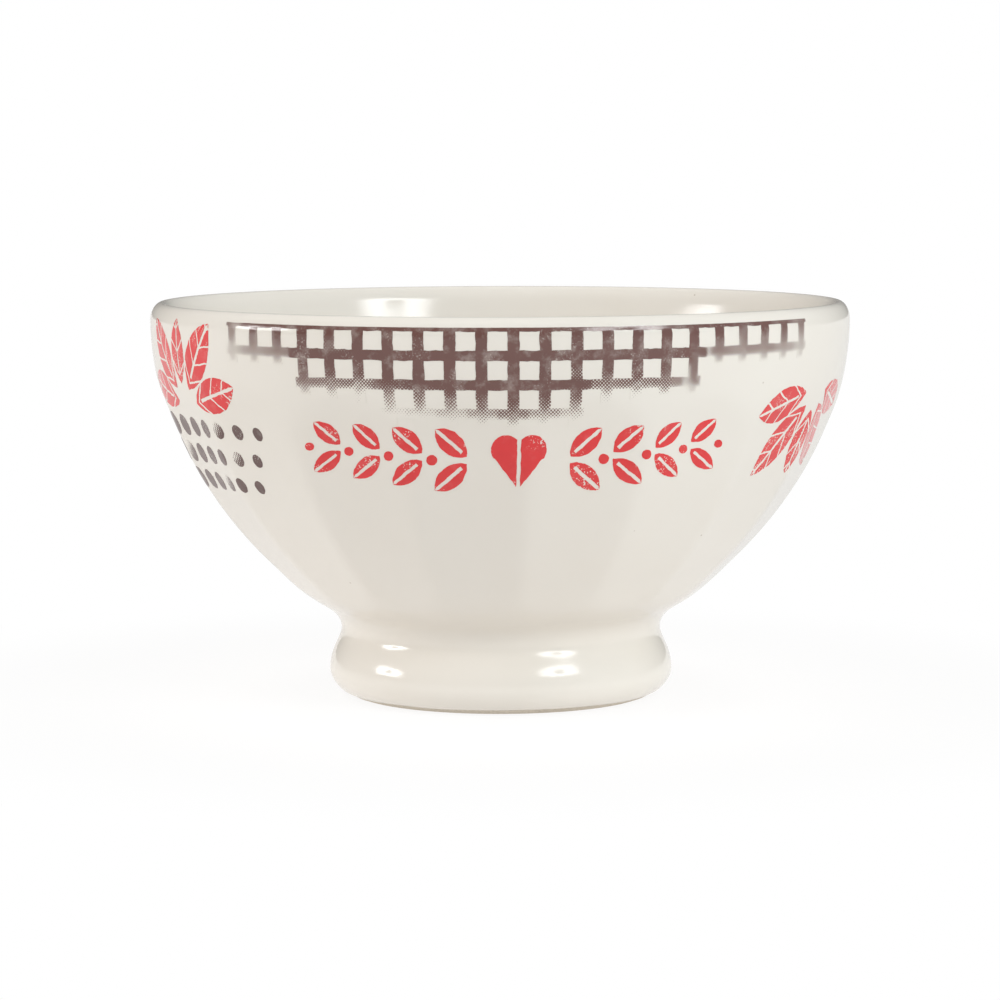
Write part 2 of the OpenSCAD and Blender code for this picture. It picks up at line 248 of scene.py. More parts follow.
def makeGlazeCoat():
    outer, inner = bowlOutline(*steps["coat"])
    start, d = bowl["dryLine"], dryEdge
    skin = [p for p in outer if p[1] > start + d["skin"]]
    edge = []
    for i in range(d["rows"] + 1):
        height = start + d["low"] + d["rise"] * (i / d["rows"]) ** d["crowd"]
        thick = bowl["glaze"] * math.sqrt(1 - (1 - min((height - start) / d["round"], 1)) ** 2)
        edge.append((wallRadius(height) - bowl["glaze"] + thick, height))
    coarseOuter, coarseInner = bowlOutline(*steps["backing"])
    backing = movedIn(coarseOuter + coarseInner, bowl["glaze"], True)
    backing = [p for p in backing if p[1] > start + d["back"]]
    loop = edge + skin + inner + backing[::-1] + [(wallRadius(start) - bowl["glaze"], start), edge[0]]
    coat = turnedPiece("glazeCoat", loop, bowl["columns"])
    pressFacets(coat)
    for vertex in coat.data.vertices:      # the wiped line isn't quite level
        if vertex.co.z < (start + 1) * mm:
            fade = 1 - max(vertex.co.z / mm - start, 0)
            spot = Vector((vertex.co.x, vertex.co.y, 0.003)) * d["unevenScale"]
            vertex.co.z += d["uneven"] * mm * fade * noise.noise(spot)
    finishPiece(coat, ["outer_glaze", "inner_glaze"])
    return coat


# The clay: a wall with the bowl's floor, and a ring foot that shows below the dry line and under the bowl
clayCut = {
    "apart": 0.1,      # no other point of the outline lies nearer to the joint of wall and foot
    "bevel": 0.22, "bevelSteps": 3, "bevelAngle": 35,
    "wearHeight": 0.9, "wearFull": 0.3, "wear": 0.0011, "wearScale": 260, "grainScale": 900,
}


def makeClay():
    c = clayCut
    outer, inner = bowlOutline(*steps["wall"])
    clay = movedIn(outer + inner, bowl["glaze"], True)
    neckHeight = bowl["neck"][1]
    upper = [p for p in clay if p[1] > neckHeight + c["apart"]]
    neckRadius = bowl["neck"][0] - bowl["glaze"]
    loop = [(0, neckHeight), (neckRadius, neckHeight)] + upper
    wall = turnedPiece("bowlWallClay", loop, bowl["clayColumns"])
    pressFacets(wall)
    finishPiece(wall, ["bowl_wall"])
    outer = bowlOutline(*steps["foot"])[0]
    foot = movedIn([p for p in outer if p[1] < neckHeight - c["apart"]], bowl["glaze"], False)
    insideRadius = bowl["restRadius"] - bowl["restWidth"]
    wellFoot = insideRadius - bowl["restEdge"]
    loop = [(insideRadius, 0)] + foot + [(neckRadius, neckHeight), (bowl["wellRadius"], neckHeight)]
    loop += [(wellFoot, bowl["dryLine"]), (insideRadius, 0)]
    ring = turnedPiece("footRingClay", loop, bowl["footColumns"])
    applyModifier(
        ring, "BEVEL", width=c["bevel"] * mm, segments=c["bevelSteps"],
        limit_method="ANGLE", angle_limit=math.radians(c["bevelAngle"])
    )
    for vertex in ring.data.vertices:      # worn a little unevenly where it stands
        if vertex.co.z < c["wearHeight"] * mm:
            spot = Vector(vertex.co)
            worn = noise.noise(spot * c["wearScale"]) + 0.5 * noise.noise(spot * c["grainScale"])
            share = 1 + c["wear"] * worn * min(vertex.co.z / (c["wearFull"] * mm), 1)
            vertex.co.x *= share
            vertex.co.y *= share
    finishPiece(ring, ["foot_ring"])
    return wall, ring


# The glaze in the hollow of the foot, with a round corner where it has pooled
well = {
    "corner": 2.6, "rows": 8, "ceilingRows": 11, "sag": 0.0008, "spare": 0.02,
    "edge": (0.12, 0.2, 0.5), "edgeShare": 0.6,      # heights of its soft edge above the dry line
}


def makeWellGlaze():
    w = well
    ceiling, start = bowl["neck"][1], bowl["dryLine"]
    wellFoot = bowl["restRadius"] - bowl["restWidth"] - bowl["restEdge"]
    thick, corner, rows = bowl["glaze"], w["corner"], w["rows"]
    low, middle, high = w["edge"]
    wallTop = bowl["wellRadius"] - thick
    shown = [(wellFoot, start + low), (wellFoot - w["edgeShare"] * thick, start + middle)]
    shown.append((wellFoot - thick, start + high))
    for i in range(1, rows + 1):
        height = start + high + (ceiling - thick - corner - start - high) * i / rows
        share = (height - start) / (ceiling - start)
        shown.append((wellFoot - thick + (wallTop - wellFoot + thick) * share, height))
    for i in range(1, rows + 1):
        bend = math.radians(90 * i / rows)
        across, down = corner * (1 - math.cos(bend)), corner * (1 - math.sin(bend))
        shown.append((wallTop - across, ceiling - thick - down))
    for i in range(1, w["ceilingRows"] + 1):
        radius = (wallTop - corner) * (1 - i / w["ceilingRows"])
        shown.append((radius, ceiling - thick - w["sag"] * (wallTop - corner - radius) * radius))
    top = ceiling - w["spare"]
    hidden = [(0, top), (bowl["wellRadius"] - w["spare"], top), (wellFoot, start + low)]
    glaze = turnedPiece("footWellGlaze", shown + hidden, bowl["footColumns"])
    finishPiece(glaze, ["foot_well_glaze"])
    return glaze


# Prints: each is drawn flat, wrapped on the wall and given a thin closed body
layer = {"lift": 0.04, "body": 0.08, "fullInk": 1.3}


def flatGrid(name, columns, rows):
    bpy.ops.object.select_all(action="DESELECT")
    bpy.ops.mesh.primitive_grid_add(x_subdivisions=columns, y_subdivisions=rows, size=1)
    piece = bpy.context.active_object
    piece.name = piece.data.name = name
    return piece


def gridPlace(vertex, columns, rows):
    # the column and the row of its flat grid that a vertex lies on
    return round((vertex.co.x + 0.5) * columns), round((vertex.co.y + 0.5) * rows)


def editFaces(piece, chosen, edit):
    # runs an edit on the faces that chosen picks by their middle and normal
    selectOnly(piece)
    bpy.ops.object.mode_set(mode="EDIT")
    bpy.ops.mesh.select_mode(type="FACE")
    bpy.ops.mesh.select_all(action="DESELECT")
    mesh = bmesh.from_edit_mesh(piece.data)
    mesh.normal_update()
    for face in mesh.faces:
        face.select = chosen(face.calc_center_median(), face.normal)
    mesh.select_flush_mode()
    bmesh.update_edit_mesh(piece.data)
    if any(face.select for face in mesh.faces):
        edit()
    bpy.ops.mesh.select_mode(type="VERT")
    bpy.ops.object.mode_set(mode="OBJECT")


def dropFaces(piece, unwanted):
    # unwanted says from a face's middle whether the face goes
    editFaces(piece, lambda middle, normal: unwanted(middle), lambda: bpy.ops.mesh.delete(type="FACE"))


def setPlaces(piece, name, values):
    attribute = piece.data.attributes.new(name, "FLOAT_VECTOR", "POINT")
    attribute.data.foreach_set("vector", [x for value in values for x in value])


def facesInward(middle, normal):
    return normal.x * middle.x + normal.y * middle.y < 0


def wrapOnWall(piece, spotOf):
    # spotOf turns a flat place into a turn from the front and a height
    for vertex in piece.data.vertices:
        turn, height = spotOf(vertex.co.x, vertex.co.y)
        radius = wallRadius(height) - facetPress(turn, height) + layer["lift"]
        angle = math.radians(turn)
        vertex.co = (radius * math.sin(angle) * mm, -radius * math.cos(angle) * mm, height * mm)
    editFaces(piece, facesInward, bpy.ops.mesh.flip_normals)
    applyModifier(piece, "SOLIDIFY", thickness=layer["body"] * mm, offset=-1)


def stampSpot(turn, height):
    def spotOf(across, up):
        radius = wallRadius(height + up)
        return turn + math.degrees(math.asin(across / radius)), height + up
    return spotOf


def joined(name, pieces):
    selectOnly(*pieces)
    if len(pieces) > 1:
        bpy.ops.object.join()
    whole = bpy.context.active_object
    whole.name = whole.data.name = name
    return whole


# The unsteady edge of a print: the rates of a slow and a quick noise, and the quick one's share
edgeNoise = {"check": (0.75, 2.3), "stencil": (0.9, 2.9), "quick": 0.7}


def waver(kind, spot, slow=(0, 0, 0), quick=(0, 0, 0)):
    # each noise is read at its own offset
    slowRate, quickRate = edgeNoise[kind]
    much = noise.noise(spot * slowRate + Vector(slow))
    return much + edgeNoise["quick"] * noise.noise(spot * quickRate + Vector(quick))


# The check: a grid whose white squares are deleted, with level bars that reach less far the lower they are
check = {
    "top": 77.6, "topBar": 0.7, "row": 5.4, "levelBar": 1.9, "uprightBar": 2.2, "pitch": 360 / 75, "turn": 2,
    "left": [10, 10, 7, 4], "right": [11, 11, 6, 2],      # how many upright bars each row has to both sides
    "topCells": 2, "barCells": 3, "gapCells": 5, "fringeCells": 2,
    "edgeCells": 1,      # cells beyond the first and the last upright bar
    "longFringe": {-6: 1, -5: 2, 3: 2, 4: 1},      # cells that some upright bars hang lower
    "wobble": 0.13, "topWobble": 0.35,
}
# The check's ink where each row ends, and what it gains or loses for each millimetre or upright bar
checkInks = {
    "rows": (1.0, 0.92, 0.88, 0.82), "up": 0.16, "hang": 0.32, "paler": 0.28, "least": 0.1,
    "aside": 0.13, "palerAside": 0.1, "leastAside": -0.3,      # of the lowest row, away from its middle
    "ends": (0.62, 0.8, 0.95), "edge": 0.22,
}


def checkAcross(cell):
    # the turn of a grid line from the first upright bar: a bar keeps its width, and the gap takes the rest
    step, part = divmod(cell, check["barCells"] + check["gapCells"])
    bar = math.degrees(check["uprightBar"] / bowl["rimRadius"])
    start = step * check["pitch"]
    if part <= check["barCells"]:
        return start + bar * part / check["barCells"]
    return start + bar + (check["pitch"] - bar) * (part - check["barCells"]) / check["gapCells"]


def checkDown(line):
    # the same for the level lines, from the top of the thin first bar
    if line <= check["topCells"]:
        return check["topBar"] * line / check["topCells"]
    step, part = divmod(line - check["topCells"], check["barCells"] + check["gapCells"])
    gap = check["row"] - check["levelBar"]
    if part <= check["gapCells"]:
        return check["topBar"] + step * check["row"] + gap * part / check["gapCells"]
    low = check["topBar"] + step * check["row"] + gap
    return low + check["levelBar"] * (part - check["gapCells"]) / check["barCells"]


def lastRow(bar):
    reach = zip(check["left"], check["right"])
    return max(i for i, (left, right) in enumerate(reach) if -left <= bar <= right)


def checkInk(bar, down):
    # the print is dense at the top, thins out through its last level bar and fades in the fringe below
    ink = checkInks
    last = lastRow(bar)
    low = check["topBar"] + last * check["row"] - down
    worn = abs(bar) if last == len(ink["rows"]) - 1 else 0      # the lowest bar fades to both ends
    dense = ink["rows"][last] - ink["aside"] * worn
    paler = ink["paler"] + ink["palerAside"] * worn
    if low < 0:
        share = max(dense - paler + ink["hang"] * low, ink["leastAside"] if worn else ink["least"])
    else:
        paler *= max(1 - low / check["levelBar"], 0)
        share = min(dense + ink["up"] * max(low - check["levelBar"], 0) - paler, layer["fullInk"])
    fromEnd = min(bar + check["left"][0], check["right"][0] - bar)
    return share * ink["ends"][fromEnd] if fromEnd < len(ink["ends"]) else share


def makeCheck(name, turn, node):
    c = check
    whole = c["barCells"] + c["gapCells"]
    first, rows, edge = c["left"][0], len(c["left"]), c["edgeCells"]
    columns = (first + c["right"][0]) * whole + c["barCells"] + 2 * edge
    lines = c["topCells"] + (rows - 1) * whole + c["fringeCells"]
    piece = flatGrid(name, columns, lines)

    def unwanted(middle):
        across = (middle.x + 0.5) * columns - edge
        down = (0.5 - middle.y) * lines
        bar = math.floor(across / whole) - first
        if across % whole < c["barCells"] and -first <= bar <= c["right"][0]:
            if down < c["topCells"] + lastRow(bar) * whole + c["fringeCells"] + c["longFringe"].get(bar, 0):
                return False
        row = 0
        if down > c["topCells"]:
            step, part = divmod(down - c["topCells"], whole)
            if part < c["gapCells"] or step > rows - 2:
                return True
            row = int(step) + 1
        low = (first - c["left"][row]) * whole - edge
        high = (first + c["right"][row]) * whole + c["barCells"] + edge
        return not low < across < high

    dropFaces(piece, unwanted)
    places = []
    barTurn = math.degrees(c["uprightBar"] / bowl["rimRadius"])
    neighbours = [0] * len(piece.data.vertices)
    for face in piece.data.polygons:
        for corner in face.vertices:
            neighbours[corner] += 1
    for vertex in piece.data.vertices:
        i = round((vertex.co.x + 0.5) * columns) - edge
        j = round((0.5 - vertex.co.y) * lines)
        across = checkAcross(i) - first * c["pitch"] - barTurn / 2
        down = checkDown(j)
        wide = math.radians(across) * bowl["rimRadius"]
        spot = Vector((wide, down, 3.0 if turn < 90 else 41.0))
        shake = c["wobble"] * waver("check", spot, quick=(9, 0, 0))
        drop = c["wobble"] * waver("check", spot, (0, 30, 0), (0, 70, 0))
        if j == 0:      # the top is steadier, and never rises
            drop = c["topWobble"] * abs(drop)
        vertex.co = (turn + across + math.degrees(shake / bowl["rimRadius"]), c["top"] - down - drop, 0)
        bar = min(max(round(across / c["pitch"]), -first), c["right"][0])
        edgy = neighbours[vertex.index] < 4 and j > c["topCells"]      # there the screen shows
        places.append((wide, down, checkInk(bar, down) - (checkInks["edge"] if edgy else 0)))
    setPlaces(piece, "printPlace", places)
    wrapOnWall(piece, lambda across, up: (across, up))
    finishPiece(piece, [node])
    return piece


# Leaves: a grid is shaped into a pointed leaf, and the stencil's bridge is cut out along its rib
leafForm = {
    "tip": 0.04,           # the share of the curve that is left off at each tip
    "foot": 0.16,          # the share of the leaf that the bridge leaves whole
    "leastHalf": 0.1, "mostBridge": 0.45,
}


def leafShape(name, length, width, bridge, columns, sideCells):
    f = leafForm
    lines = 2 * sideCells + 1
    piece = flatGrid(name, columns, lines)
    arc = (length * length / width + width) / 4

    def halfWidth(x):
        return max(math.sqrt(max(arc * arc - (x - length / 2) ** 2, 0)) - (arc - width / 2), 0)

    def alongShare(cell):
        # finer steps towards both tips
        return 0.5 - 0.5 * math.cos(math.pi * (f["tip"] + (1 - 2 * f["tip"]) * cell / columns))

    def onBridge(middle):
        return abs(middle.y) * lines < 0.5 and alongShare((middle.x + 0.5) * columns) > f["foot"]

    dropFaces(piece, onBridge)
    for vertex in piece.data.vertices:
        i, j = gridPlace(vertex, columns, lines)
        x = length * alongShare(i)
        half = max(halfWidth(x), f["leastHalf"])
        side = 1 if j > sideCells else -1
        step = (j - sideCells - 1) if side > 0 else (sideCells - j)
        inner = min(bridge / 2, f["mostBridge"] * half)
        y = side * (inner + (half - inner) * step / sideCells)
        vertex.co = (x, y, 0)
    return piece


def copyPiece(piece):
    twin = piece.copy()
    twin.data = piece.data.copy()
    bpy.context.scene.collection.objects.link(twin)
    return twin


def placeShape(piece, scale, tilt, shift, mirrored, rough, seed):
    # turned by its tilt, moved, and given its own rough edge, with its local place kept for the veins
    local, places = [], []
    turned = math.radians(tilt)
    for vertex in piece.data.vertices:
        x, y = vertex.co.x * scale, vertex.co.y * scale
        local.append((x, y, seed))
        x += rough * waver("stencil", Vector((x + 7 * seed, y, seed)))
        y += rough * waver("stencil", Vector((x, y + 5 * seed, seed + 20)))
        across = x * math.cos(turned) - y * math.sin(turned)
        up = x * math.sin(turned) + y * math.cos(turned)
        if mirrored:
            across = -across
        vertex.co = (across + shift[0], up + shift[1], 0)
        places.append((vertex.co.x, vertex.co.y, layer["fullInk"]))
    setPlaces(piece, "leafPlace", local)
    setPlaces(piece, "printPlace", places)


# Dots and berries: printed ones are never quite round, by a slow and a quick noise of their turn
roundForm = {"sides": 28, "inset": 0.34, "uneven": ((2, 0.07), (7, 0.035))}


def roundShape(name, radius, seed):
    f = roundForm
    bpy.ops.object.select_all(action="DESELECT")
    bpy.ops.mesh.primitive_circle_add(vertices=f["sides"], radius=radius, fill_type="NGON")
    piece = bpy.context.active_object
    piece.name = piece.data.name = name
    bpy.ops.object.mode_set(mode="EDIT")
    bpy.ops.mesh.select_all(action="SELECT")
    for _ in range(2):
        bpy.ops.mesh.inset(thickness=radius * f["inset"])
    bpy.ops.mesh.poke()
    bpy.ops.object.mode_set(mode="OBJECT")
    for vertex in piece.data.vertices:
        angle = math.atan2(vertex.co.y, vertex.co.x)
        out = 1
        for rate, much in f["uneven"]:
            out += much * noise.noise(Vector((rate * math.cos(angle), rate * math.sin(angle), seed)))
        vertex.co.x *= out
        vertex.co.y *= out
    return piece


# The garland: a heart in two halves, and pairs of leaves with berries going out to both sides
garland = {
    "height": 52.8, "turn": 3, "leaf": 7.8, "leafWidth": 4.2, "leafCells": (26, 3), "bridge": 0.7, "tilt": 42,
    "start": 8.6, "step": 7.4, "pairs": 4, "shrink": 0.07, "rise": 0.08, "berry": 2, "berryPlace": 0.78,
    "heart": 10.4, "heartLift": 0.2, "rough": 0.11,
}
# The heart's shape, in shares of its width: a round lobe, and a straight side that rises from the point
heartForm = {
    "lobe": 0.27, "middle": 0.23, "point": 0.73, "side": 0.432, "sideRise": 0.57,
    "cells": (20, 14), "reach": 0.997,      # how much of the lobe's way out the cells take
}


def heartShape(name, width, bridge):
    columns, lines = heartForm["cells"]
    half = flatGrid(name + "Right", columns, lines)
    lobe, middle, point, side, sideRise = (
        heartForm[key] * width for key in ("lobe", "middle", "point", "side", "sideRise")
    )
    gap = bridge / 2
    for vertex in half.data.vertices:
        i, j = gridPlace(vertex, columns, lines)
        x = gap + (middle + lobe - gap) * heartForm["reach"] * math.sin(math.pi / 2 * i / columns)
        rise = math.sqrt(max(lobe * lobe - (x - middle) ** 2, 0))
        low = sideRise * x / side - point if x < side else -rise
        vertex.co = (x, low + (rise - low) * j / lines, 0)
    other = copyPiece(half)
    for vertex in other.data.vertices:
        vertex.co.x *= -1
    return joined(name, [half, other])


def makeGarland(name, turn, node):
    g = garland
    shapes = []
    seed = 1 if turn < 90 else 60
    pattern = leafShape(name + "Leaf", g["leaf"], g["leafWidth"], g["bridge"], *g["leafCells"])
    heart = heartShape(name + "Heart", g["heart"], g["bridge"])
    placeShape(heart, 1, 0, (0, g["heart"] * g["heartLift"]), False, g["rough"], seed)
    shapes.append(heart)
    radius = wallRadius(g["height"])
    for side in (-1, 1):
        for pair in range(g["pairs"]):
            across = radius * math.sin(math.radians(g["start"] + pair * g["step"]))
            up = g["leaf"] * g["rise"] * pair
            size = 1 - g["shrink"] * pair
            for way in (-1, 1):
                seed += 1
                leaf = copyPiece(pattern)
                placeShape(leaf, size, way * g["tilt"], (0, way * g["bridge"]), side < 0, g["rough"], seed)
                for vertex in leaf.data.vertices:      # each is stamped straight out at its own turn
                    vertex.co.x += side * across
                    vertex.co.y += up
                shapes.append(leaf)
            berryTurn = g["start"] + pair * g["step"] + g["step"] * g["berryPlace"]
            berry = roundShape(name + "Berry", g["berry"] / 2 * size, seed)
            placeShape(berry, 1, 0, (side * radius * math.sin(math.radians(berryTurn)), up), False, 0, seed)
            shapes.append(berry)
    bpy.data.objects.remove(pattern)
    whole = joined(name, shapes)
    wrapOnWall(whole, stampSpot(turn, g["height"]))
    finishPiece(whole, [node])
    return whole


# The sprays: fans of broad leaves, one that stands up and one that hangs down on each side
spray = {
    "upTurn": -63, "upHeight": 60, "downTurn": 63, "downHeight": 64.5,
    "leaf": 16.5, "leafWidth": 7.4, "leafCells": (44, 5), "gap": 0.3, "rough": 0.13,
    "tilts": [-75, -37.5, 0, 37.5, 75], "sizes": [0.9, 1, 0.76, 1, 0.9],
}


def makeSprays(name, stands, node):
    s = spray
    fans = []
    for turn, height, up in stands:
        pattern = leafShape(name + "Leaf", s["leaf"], s["leafWidth"], garland["bridge"], *s["leafCells"])
        leaves = []
        for i, (tilt, size) in enumerate(zip(s["tilts"], s["sizes"])):
            leaf = copyPiece(pattern)
            away = math.radians(up * 90 + tilt)
            gap = s["leaf"] * s["gap"]
            seed = i + (0 if up > 0 else 9) + (20 if abs(turn) > 90 else 0)
            shift = (gap * math.cos(away), gap * math.sin(away))
            placeShape(leaf, size, up * 90 + tilt, shift, False, s["rough"], seed)
            leaves.append(leaf)
        bpy.data.objects.remove(pattern)
        fan = joined(name + "Fan", leaves)
        wrapOnWall(fan, stampSpot(turn, height))
        fans.append(fan)
    whole = joined(name, fans)
    finishPiece(whole, [node])
    return whole


# The dots: rows under the standing spray, smaller towards the garland
dots = {
    "turn": -80, "height": 45.5, "pitch": 6.2, "rowShare": 0.87, "rows": 3, "columns": 7,
    "size": 4.5, "shrink": 0.07,
    "worn": (4, 11, 15, 24, 52, 56, 65, 70), "wornInk": 0.72, "wornLean": 0.26,      # inked on one side only
    "cloudy": 0.18,
}


def makeDots(name, turn, node):
    d = dots
    step = math.degrees(d["pitch"] / bowl["rimRadius"])
    made = []
    for row in range(d["rows"]):
        for column in range(d["columns"]):
            seed = row * 10 + column + (0 if turn < 90 else 50)
            dot = roundShape(name + "Dot", d["size"] / 2 * (1 - d["shrink"] * column), seed)
            placeShape(dot, 1, 0, (0, 0), False, 0, seed)
            for item in dot.data.attributes["printPlace"].data:
                x, y, ink = item.vector
                if seed in d["worn"]:
                    ink = d["wornInk"] + d["wornLean"] * (x - y)
                item.vector.z = ink + d["cloudy"] * noise.noise(Vector((x, y, seed)))
            height = d["height"] + row * d["pitch"] * d["rowShare"]
            wrapOnWall(dot, stampSpot(turn + (column + row / 2) * step, height))
            made.append(dot)
    whole = joined(name, made)
    finishPiece(whole, [node])
    return whole


# Finishes
finish = {
    "cream": (0.735, 0.695, 0.635), "creamDeep": (0.68, 0.62, 0.54), "speck": (0.30, 0.22, 0.15),
    "clay": (0.62, 0.555, 0.46), "stain": (0.40, 0.33, 0.25), "clayDeep": 0.78,
    "brown": (0.155, 0.074, 0.063), "grey": (0.128, 0.072, 0.065), "red": (0.73, 0.033, 0.036),
    "inkDeep": 0.8,
}


def addNode(tree, kind, inputs=(), **settings):
    node = tree.nodes.new(kind)
    for key, value in settings.items():
        setattr(node, key, value)
    for key, value in dict(inputs).items():
        if isinstance(value, bpy.types.NodeSocket):
            tree.links.new(value, node.inputs[key])
        else:
            node.inputs[key].default_value = value
    return node


def calc(tree, operation, *values, clamped=False):
    node = addNode(tree, "ShaderNodeMath", dict(enumerate(values)), operation=operation)
    node.use_clamp = clamped
    return node.outputs[0]


def cloud(tree, place, scale, detail=2.0, rough=0.5):
    inputs = {"Vector": place, "Scale": scale, "Detail": detail, "Roughness": rough}
    return addNode(tree, "ShaderNodeTexNoise", inputs).outputs["Fac"]


def between(tree, value, low, high):
    # 0 below low and 1 above high, smooth between them
    inputs = {"Value": value, "From Min": low, "From Max": high}
    return addNode(tree, "ShaderNodeMapRange", inputs, interpolation_type="SMOOTHSTEP").outputs["Result"]


def patches(tree, place, look):
    # a look is the scale, detail and roughness of a noise, and the levels its patches rise between
    scale, detail, rough, low, high = look
    return between(tree, cloud(tree, place, scale, detail, rough), low, high)


def lessened(tree, value, share, amount):
    return calc(tree, "SUBTRACT", value, calc(tree, "MULTIPLY", share, amount))


def blendColor(tree, share, first, second):
    node = addNode(tree, "ShaderNodeMix", data_type="RGBA")
    for key, value in ((0, share), (6, first), (7, second)):
        if isinstance(value, bpy.types.NodeSocket):
            tree.links.new(value, node.inputs[key])
        else:
            node.inputs[key].default_value = value if key == 0 else (*value, 1)
    return node.outputs[2]


# The cream glaze: its cloudy tone, gloss and gentle waves, shared by the coat and the prints on it
glazeLook = {
    "broad": 28, "mottle": 160, "ripple": 420,      # scales of its noises
    "broadLevels": (0.35, 0.7), "cloudy": 0.16, "mottled": 0.16,
    "pooled": 0.22, "poolHeight": 0.0145, "poolFades": (0.001, 0.012),      # a little, in the neck
    "speckScale": 130.0, "speckSizes": (0.018, 0.034), "specks": 0.5,
    "speckPatches": (47, 1, 0.5, 0.62, 0.66),
    "gloss": 0.075, "glossMottle": 0.05, "rippled": 0.035, "waveDepth": 0.00022, "waves": 0.5, "bends": 1.5,
}


def glazeGroup():
    g = glazeLook
    tree = bpy.data.node_groups.new("creamGlaze", "ShaderNodeTree")
    for name, kind in (("Tone", "Color"), ("Gloss", "Float"), ("Waves", "Float")):
        tree.interface.new_socket(name=name, in_out="OUTPUT", socket_type="NodeSocket" + kind)
    out = addNode(tree, "NodeGroupOutput")
    place = addNode(tree, "ShaderNodeTexCoord").outputs["Object"]
    height = addNode(tree, "ShaderNodeSeparateXYZ", {0: place}).outputs["Z"]
    broad = cloud(tree, place, g["broad"], 3)
    mottle = cloud(tree, place, g["mottle"], 4, 0.6)
    fromNeck = calc(tree, "ABSOLUTE", calc(tree, "SUBTRACT", height, g["poolHeight"]))
    pooled = calc(tree, "SUBTRACT", 1, between(tree, fromNeck, *g["poolFades"]))
    share = calc(tree, "MULTIPLY", between(tree, broad, *g["broadLevels"]), g["cloudy"])
    share = calc(tree, "ADD", share, calc(tree, "MULTIPLY", pooled, g["pooled"]))
    uneven = calc(tree, "MULTIPLY", calc(tree, "SUBTRACT", mottle, 0.5), g["mottled"])
    share = calc(tree, "ADD", share, uneven, clamped=True)
    tone = blendColor(tree, share, finish["cream"], finish["creamDeep"])
    # a few tiny dark specks from the clay
    specks = addNode(tree, "ShaderNodeTexVoronoi", {"Vector": place, "Scale": g["speckScale"]})
    dark = calc(tree, "SUBTRACT", 1, between(tree, specks.outputs["Distance"], *g["speckSizes"]))
    dark = calc(tree, "MULTIPLY", dark, patches(tree, place, g["speckPatches"]))
    tone = blendColor(tree, calc(tree, "MULTIPLY", dark, g["specks"]), tone, finish["speck"])
    gloss = calc(tree, "MULTIPLY_ADD", mottle, g["glossMottle"], g["gloss"])
    waves = calc(tree, "MULTIPLY_ADD", cloud(tree, place, g["ripple"], 2), g["rippled"], broad)
    tree.links.new(tone, out.inputs["Tone"])
    tree.links.new(gloss, out.inputs["Gloss"])
    tree.links.new(waves, out.inputs["Waves"])
    return tree


def newMaterial(name):
    material = bpy.data.materials.new(name)
    material.use_nodes = True
    tree = material.node_tree
    shader = next(n for n in tree.nodes if n.type == "BSDF_PRINCIPLED")
    return material, tree, shader


def glazedShader(tree, shader, group, tone=None):
    coat = addNode(tree, "ShaderNodeGroup", node_tree=group)
    tree.links.new(tone or coat.outputs["Tone"], shader.inputs["Base Color"])
    tree.links.new(coat.outputs["Gloss"], shader.inputs["Roughness"])
    g = glazeLook
    inputs = {"Height": coat.outputs["Waves"], "Distance": g["waveDepth"], "Strength": g["waves"]}
    tree.links.new(addNode(tree, "ShaderNodeBump", inputs).outputs["Normal"], shader.inputs["Normal"])
    shader.inputs["IOR"].default_value = g["bends"]
    return coat


def creamMaterial(group):
    material, tree, shader = newMaterial("creamGlazeCoat")
    glazedShader(tree, shader, group)
    return material


# The ink: a flat tone with the glaze's gloss, which thins out through a dot screen
inkLook = {
    "halftone": 0.46,      # the distance between dots of the screen, in millimetres
    "crisp": 2.4, "thin": (105, 3, 0.6, 0.54, 0.78), "pale": (300, 4, 0.65, 0.46, 0.72), "paleness": 0.4,
    "spotty": (150, 2, 0.5, 0.50, 0.62), "holes": (2600, 1, 0.5, 0.60, 0.68), "toneScale": 210,
}
# Leaves have dry brush marks along them, and veins that lean forward from the rib
veins = {
    "brushStretch": (0.16, 1.5, 3.7), "brush": (1.0, 4, 0.62, 0.44, 0.70),
    "dry": (62, 2, 0.5, 0.42, 0.66), "dryness": 1.1,
    "apart": 4.4, "lean": 0.95, "width": (0.035, 0.065), "shakeScale": 260, "shake": 0.9, "depth": 1.6,
}


def veinedLevel(tree, place, level):
    v = veins
    local = addNode(tree, "ShaderNodeAttribute", attribute_name="leafPlace").outputs["Vector"]
    leaf = addNode(tree, "ShaderNodeSeparateXYZ", {0: local})
    stretched = addNode(tree, "ShaderNodeMapping", {0: local, "Scale": v["brushStretch"]}).outputs[0]
    dry = calc(tree, "MULTIPLY", patches(tree, stretched, v["brush"]), patches(tree, place, v["dry"]))
    level = lessened(tree, level, dry, v["dryness"])
    run = lessened(tree, leaf.outputs[0], calc(tree, "ABSOLUTE", leaf.outputs[1]), v["lean"])
    run = calc(tree, "MULTIPLY_ADD", cloud(tree, place, v["shakeScale"], 1), v["shake"], run)
    beat = calc(tree, "FRACT", calc(tree, "DIVIDE", run, v["apart"]))
    beat = calc(tree, "ABSOLUTE", calc(tree, "SUBTRACT", beat, 0.5))
    vein = calc(tree, "SUBTRACT", 1, between(tree, beat, *v["width"]))
    return lessened(tree, level, vein, v["depth"])


